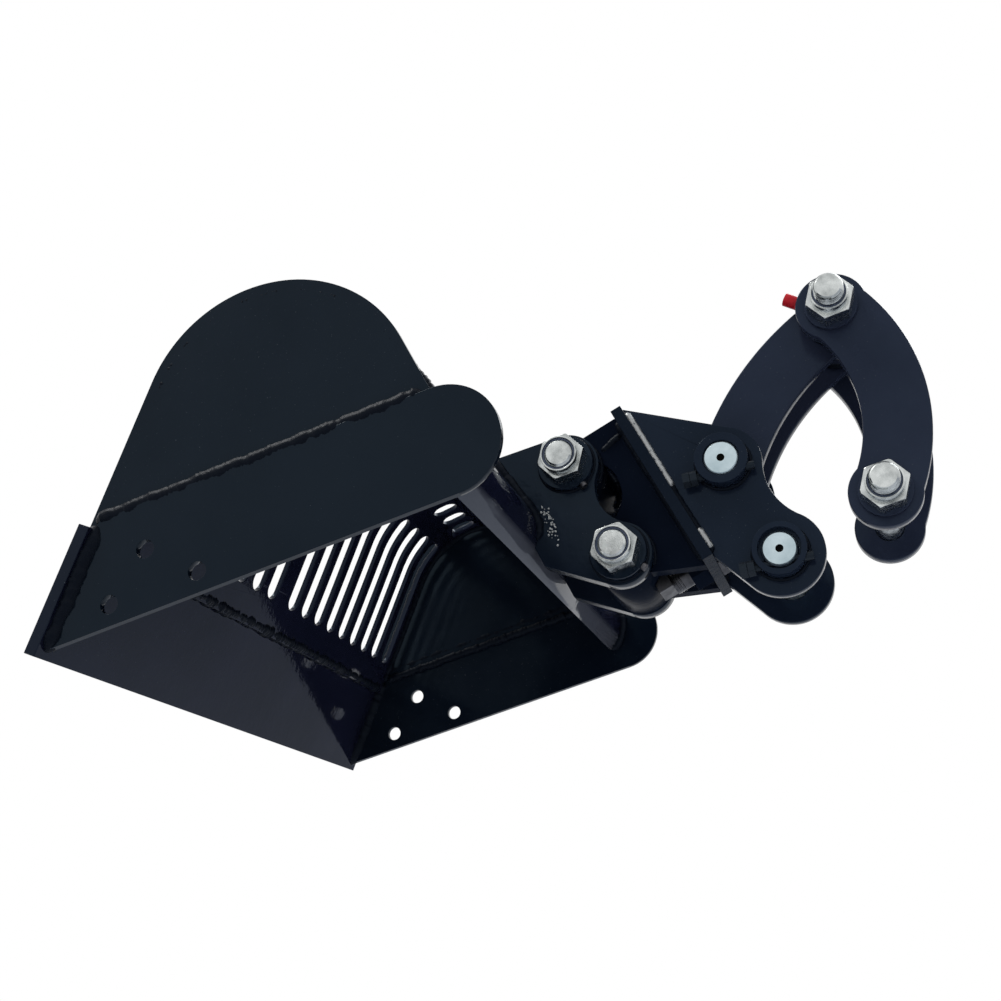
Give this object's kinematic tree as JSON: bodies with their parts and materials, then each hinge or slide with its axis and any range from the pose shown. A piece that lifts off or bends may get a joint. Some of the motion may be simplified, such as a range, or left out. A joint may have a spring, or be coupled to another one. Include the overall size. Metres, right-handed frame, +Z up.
{
  "type": "slotted excavator bucket with hitch and linkage",
  "caption": "Slotted steel digging bucket with a bolted hitch, pinned tipping link and curved rocker plates for a mini excavator arm.",
  "frame": {"origin": "axis of the dipper pivot pin at mid width", "axes": "+X level along the mouth from the bucket to the arm, +Y across the width along the pivots, +Z up from the mouth plane"},
  "size_m": [0.5753, 0.514, 0.252],
  "materials": {
    "shell_paint": "gloss",
    "side_paint": "gloss",
    "ear_paint": "gloss",
    "hitch_paint": "gloss",
    "linkage_paint": "gloss",
    "pin_steel": "turned",
    "clamp_steel": "dark oiled",
    "zinc": "zinc plated",
    "keeper_steel": "painted over",
    "nylon": "matt",
    "cap_plastic": "gloss"
  },
  "bodies": {
    "bucket": {"wrapper": "shell_paint", "lip_plate": "shell_paint", "side_sheet_near": "side_paint", "side_sheet_far": "side_paint", "side_strip_near": "side_paint", "side_strip_far": "side_paint", "ear_near": "ear_paint", "ear_far": "ear_paint", "ear_bosses": "ear_paint", "cross_plate": "hitch_paint", "web_plate_near": "hitch_paint", "web_plate_far": "hitch_paint", "bolt_hubs": "hitch_paint", "lug_plate_near": "hitch_paint", "lug_plate_far": "hitch_paint", "dipper_bosses": "hitch_paint", "link_bosses": "hitch_paint", "screw_nut": "hitch_paint", "dipper_pin": "pin_steel", "link_pin": "pin_steel", "bucket_bolts": "zinc", "bucket_nuts": "zinc", "bucket_nut_rings": "nylon", "ear_nipples": "zinc", "keeper_bolts": "keeper_steel", "keeper_nuts": "keeper_steel"},
    "clamp_screw": {"clamp_screw": "clamp_steel"},
    "clamp_shoe": {"clamp_shoe": "clamp_steel"},
    "tipping_link": {"link_plate_near": "linkage_paint", "link_plate_far": "linkage_paint", "link_hub": "linkage_paint", "rod_hubs": "linkage_paint", "hub_nipples": "zinc", "nipple_caps": "cap_plastic"},
    "rocker": {"rocker_plate_near": "linkage_paint", "rocker_plate_far": "linkage_paint", "rocker_bolts": "zinc", "rocker_washers": "linkage_paint", "rocker_nuts": "zinc", "rocker_nut_rings": "nylon"}
  },
  "joints": [
    {"name": "link_pivot", "type": "hinge", "parent": "bucket", "child": "tipping_link", "pos_m": [-0.01601, 0, 0.07532], "axis": [0, -1, 0], "range_deg": [-45, 40]},
    {"name": "rocker_pivot", "type": "hinge", "parent": "tipping_link", "child": "rocker", "pos_m": [0.092, 0, 0.157], "axis": [0, -1, 0], "range_deg": [-21, 24]},
    {"name": "shoe_slide", "type": "slide", "parent": "bucket", "child": "clamp_shoe", "axis": [0.9781, 0, 0.2079], "range_m": [0, 0.006]},
    {"name": "screw_turn", "type": "hinge", "parent": "clamp_shoe", "child": "clamp_screw", "pos_m": [-0.06576, 0, 0.02078], "axis": [0.9781, 0, 0.2079], "range_deg": [0, 1080]}
  ],
  "couplings": [
    {"joint": "rocker_pivot", "follows": "link_pivot", "ratio": -0.52},
    {"joint": "screw_turn", "follows": "shoe_slide", "rad_per_m": 3141.6}
  ]
}
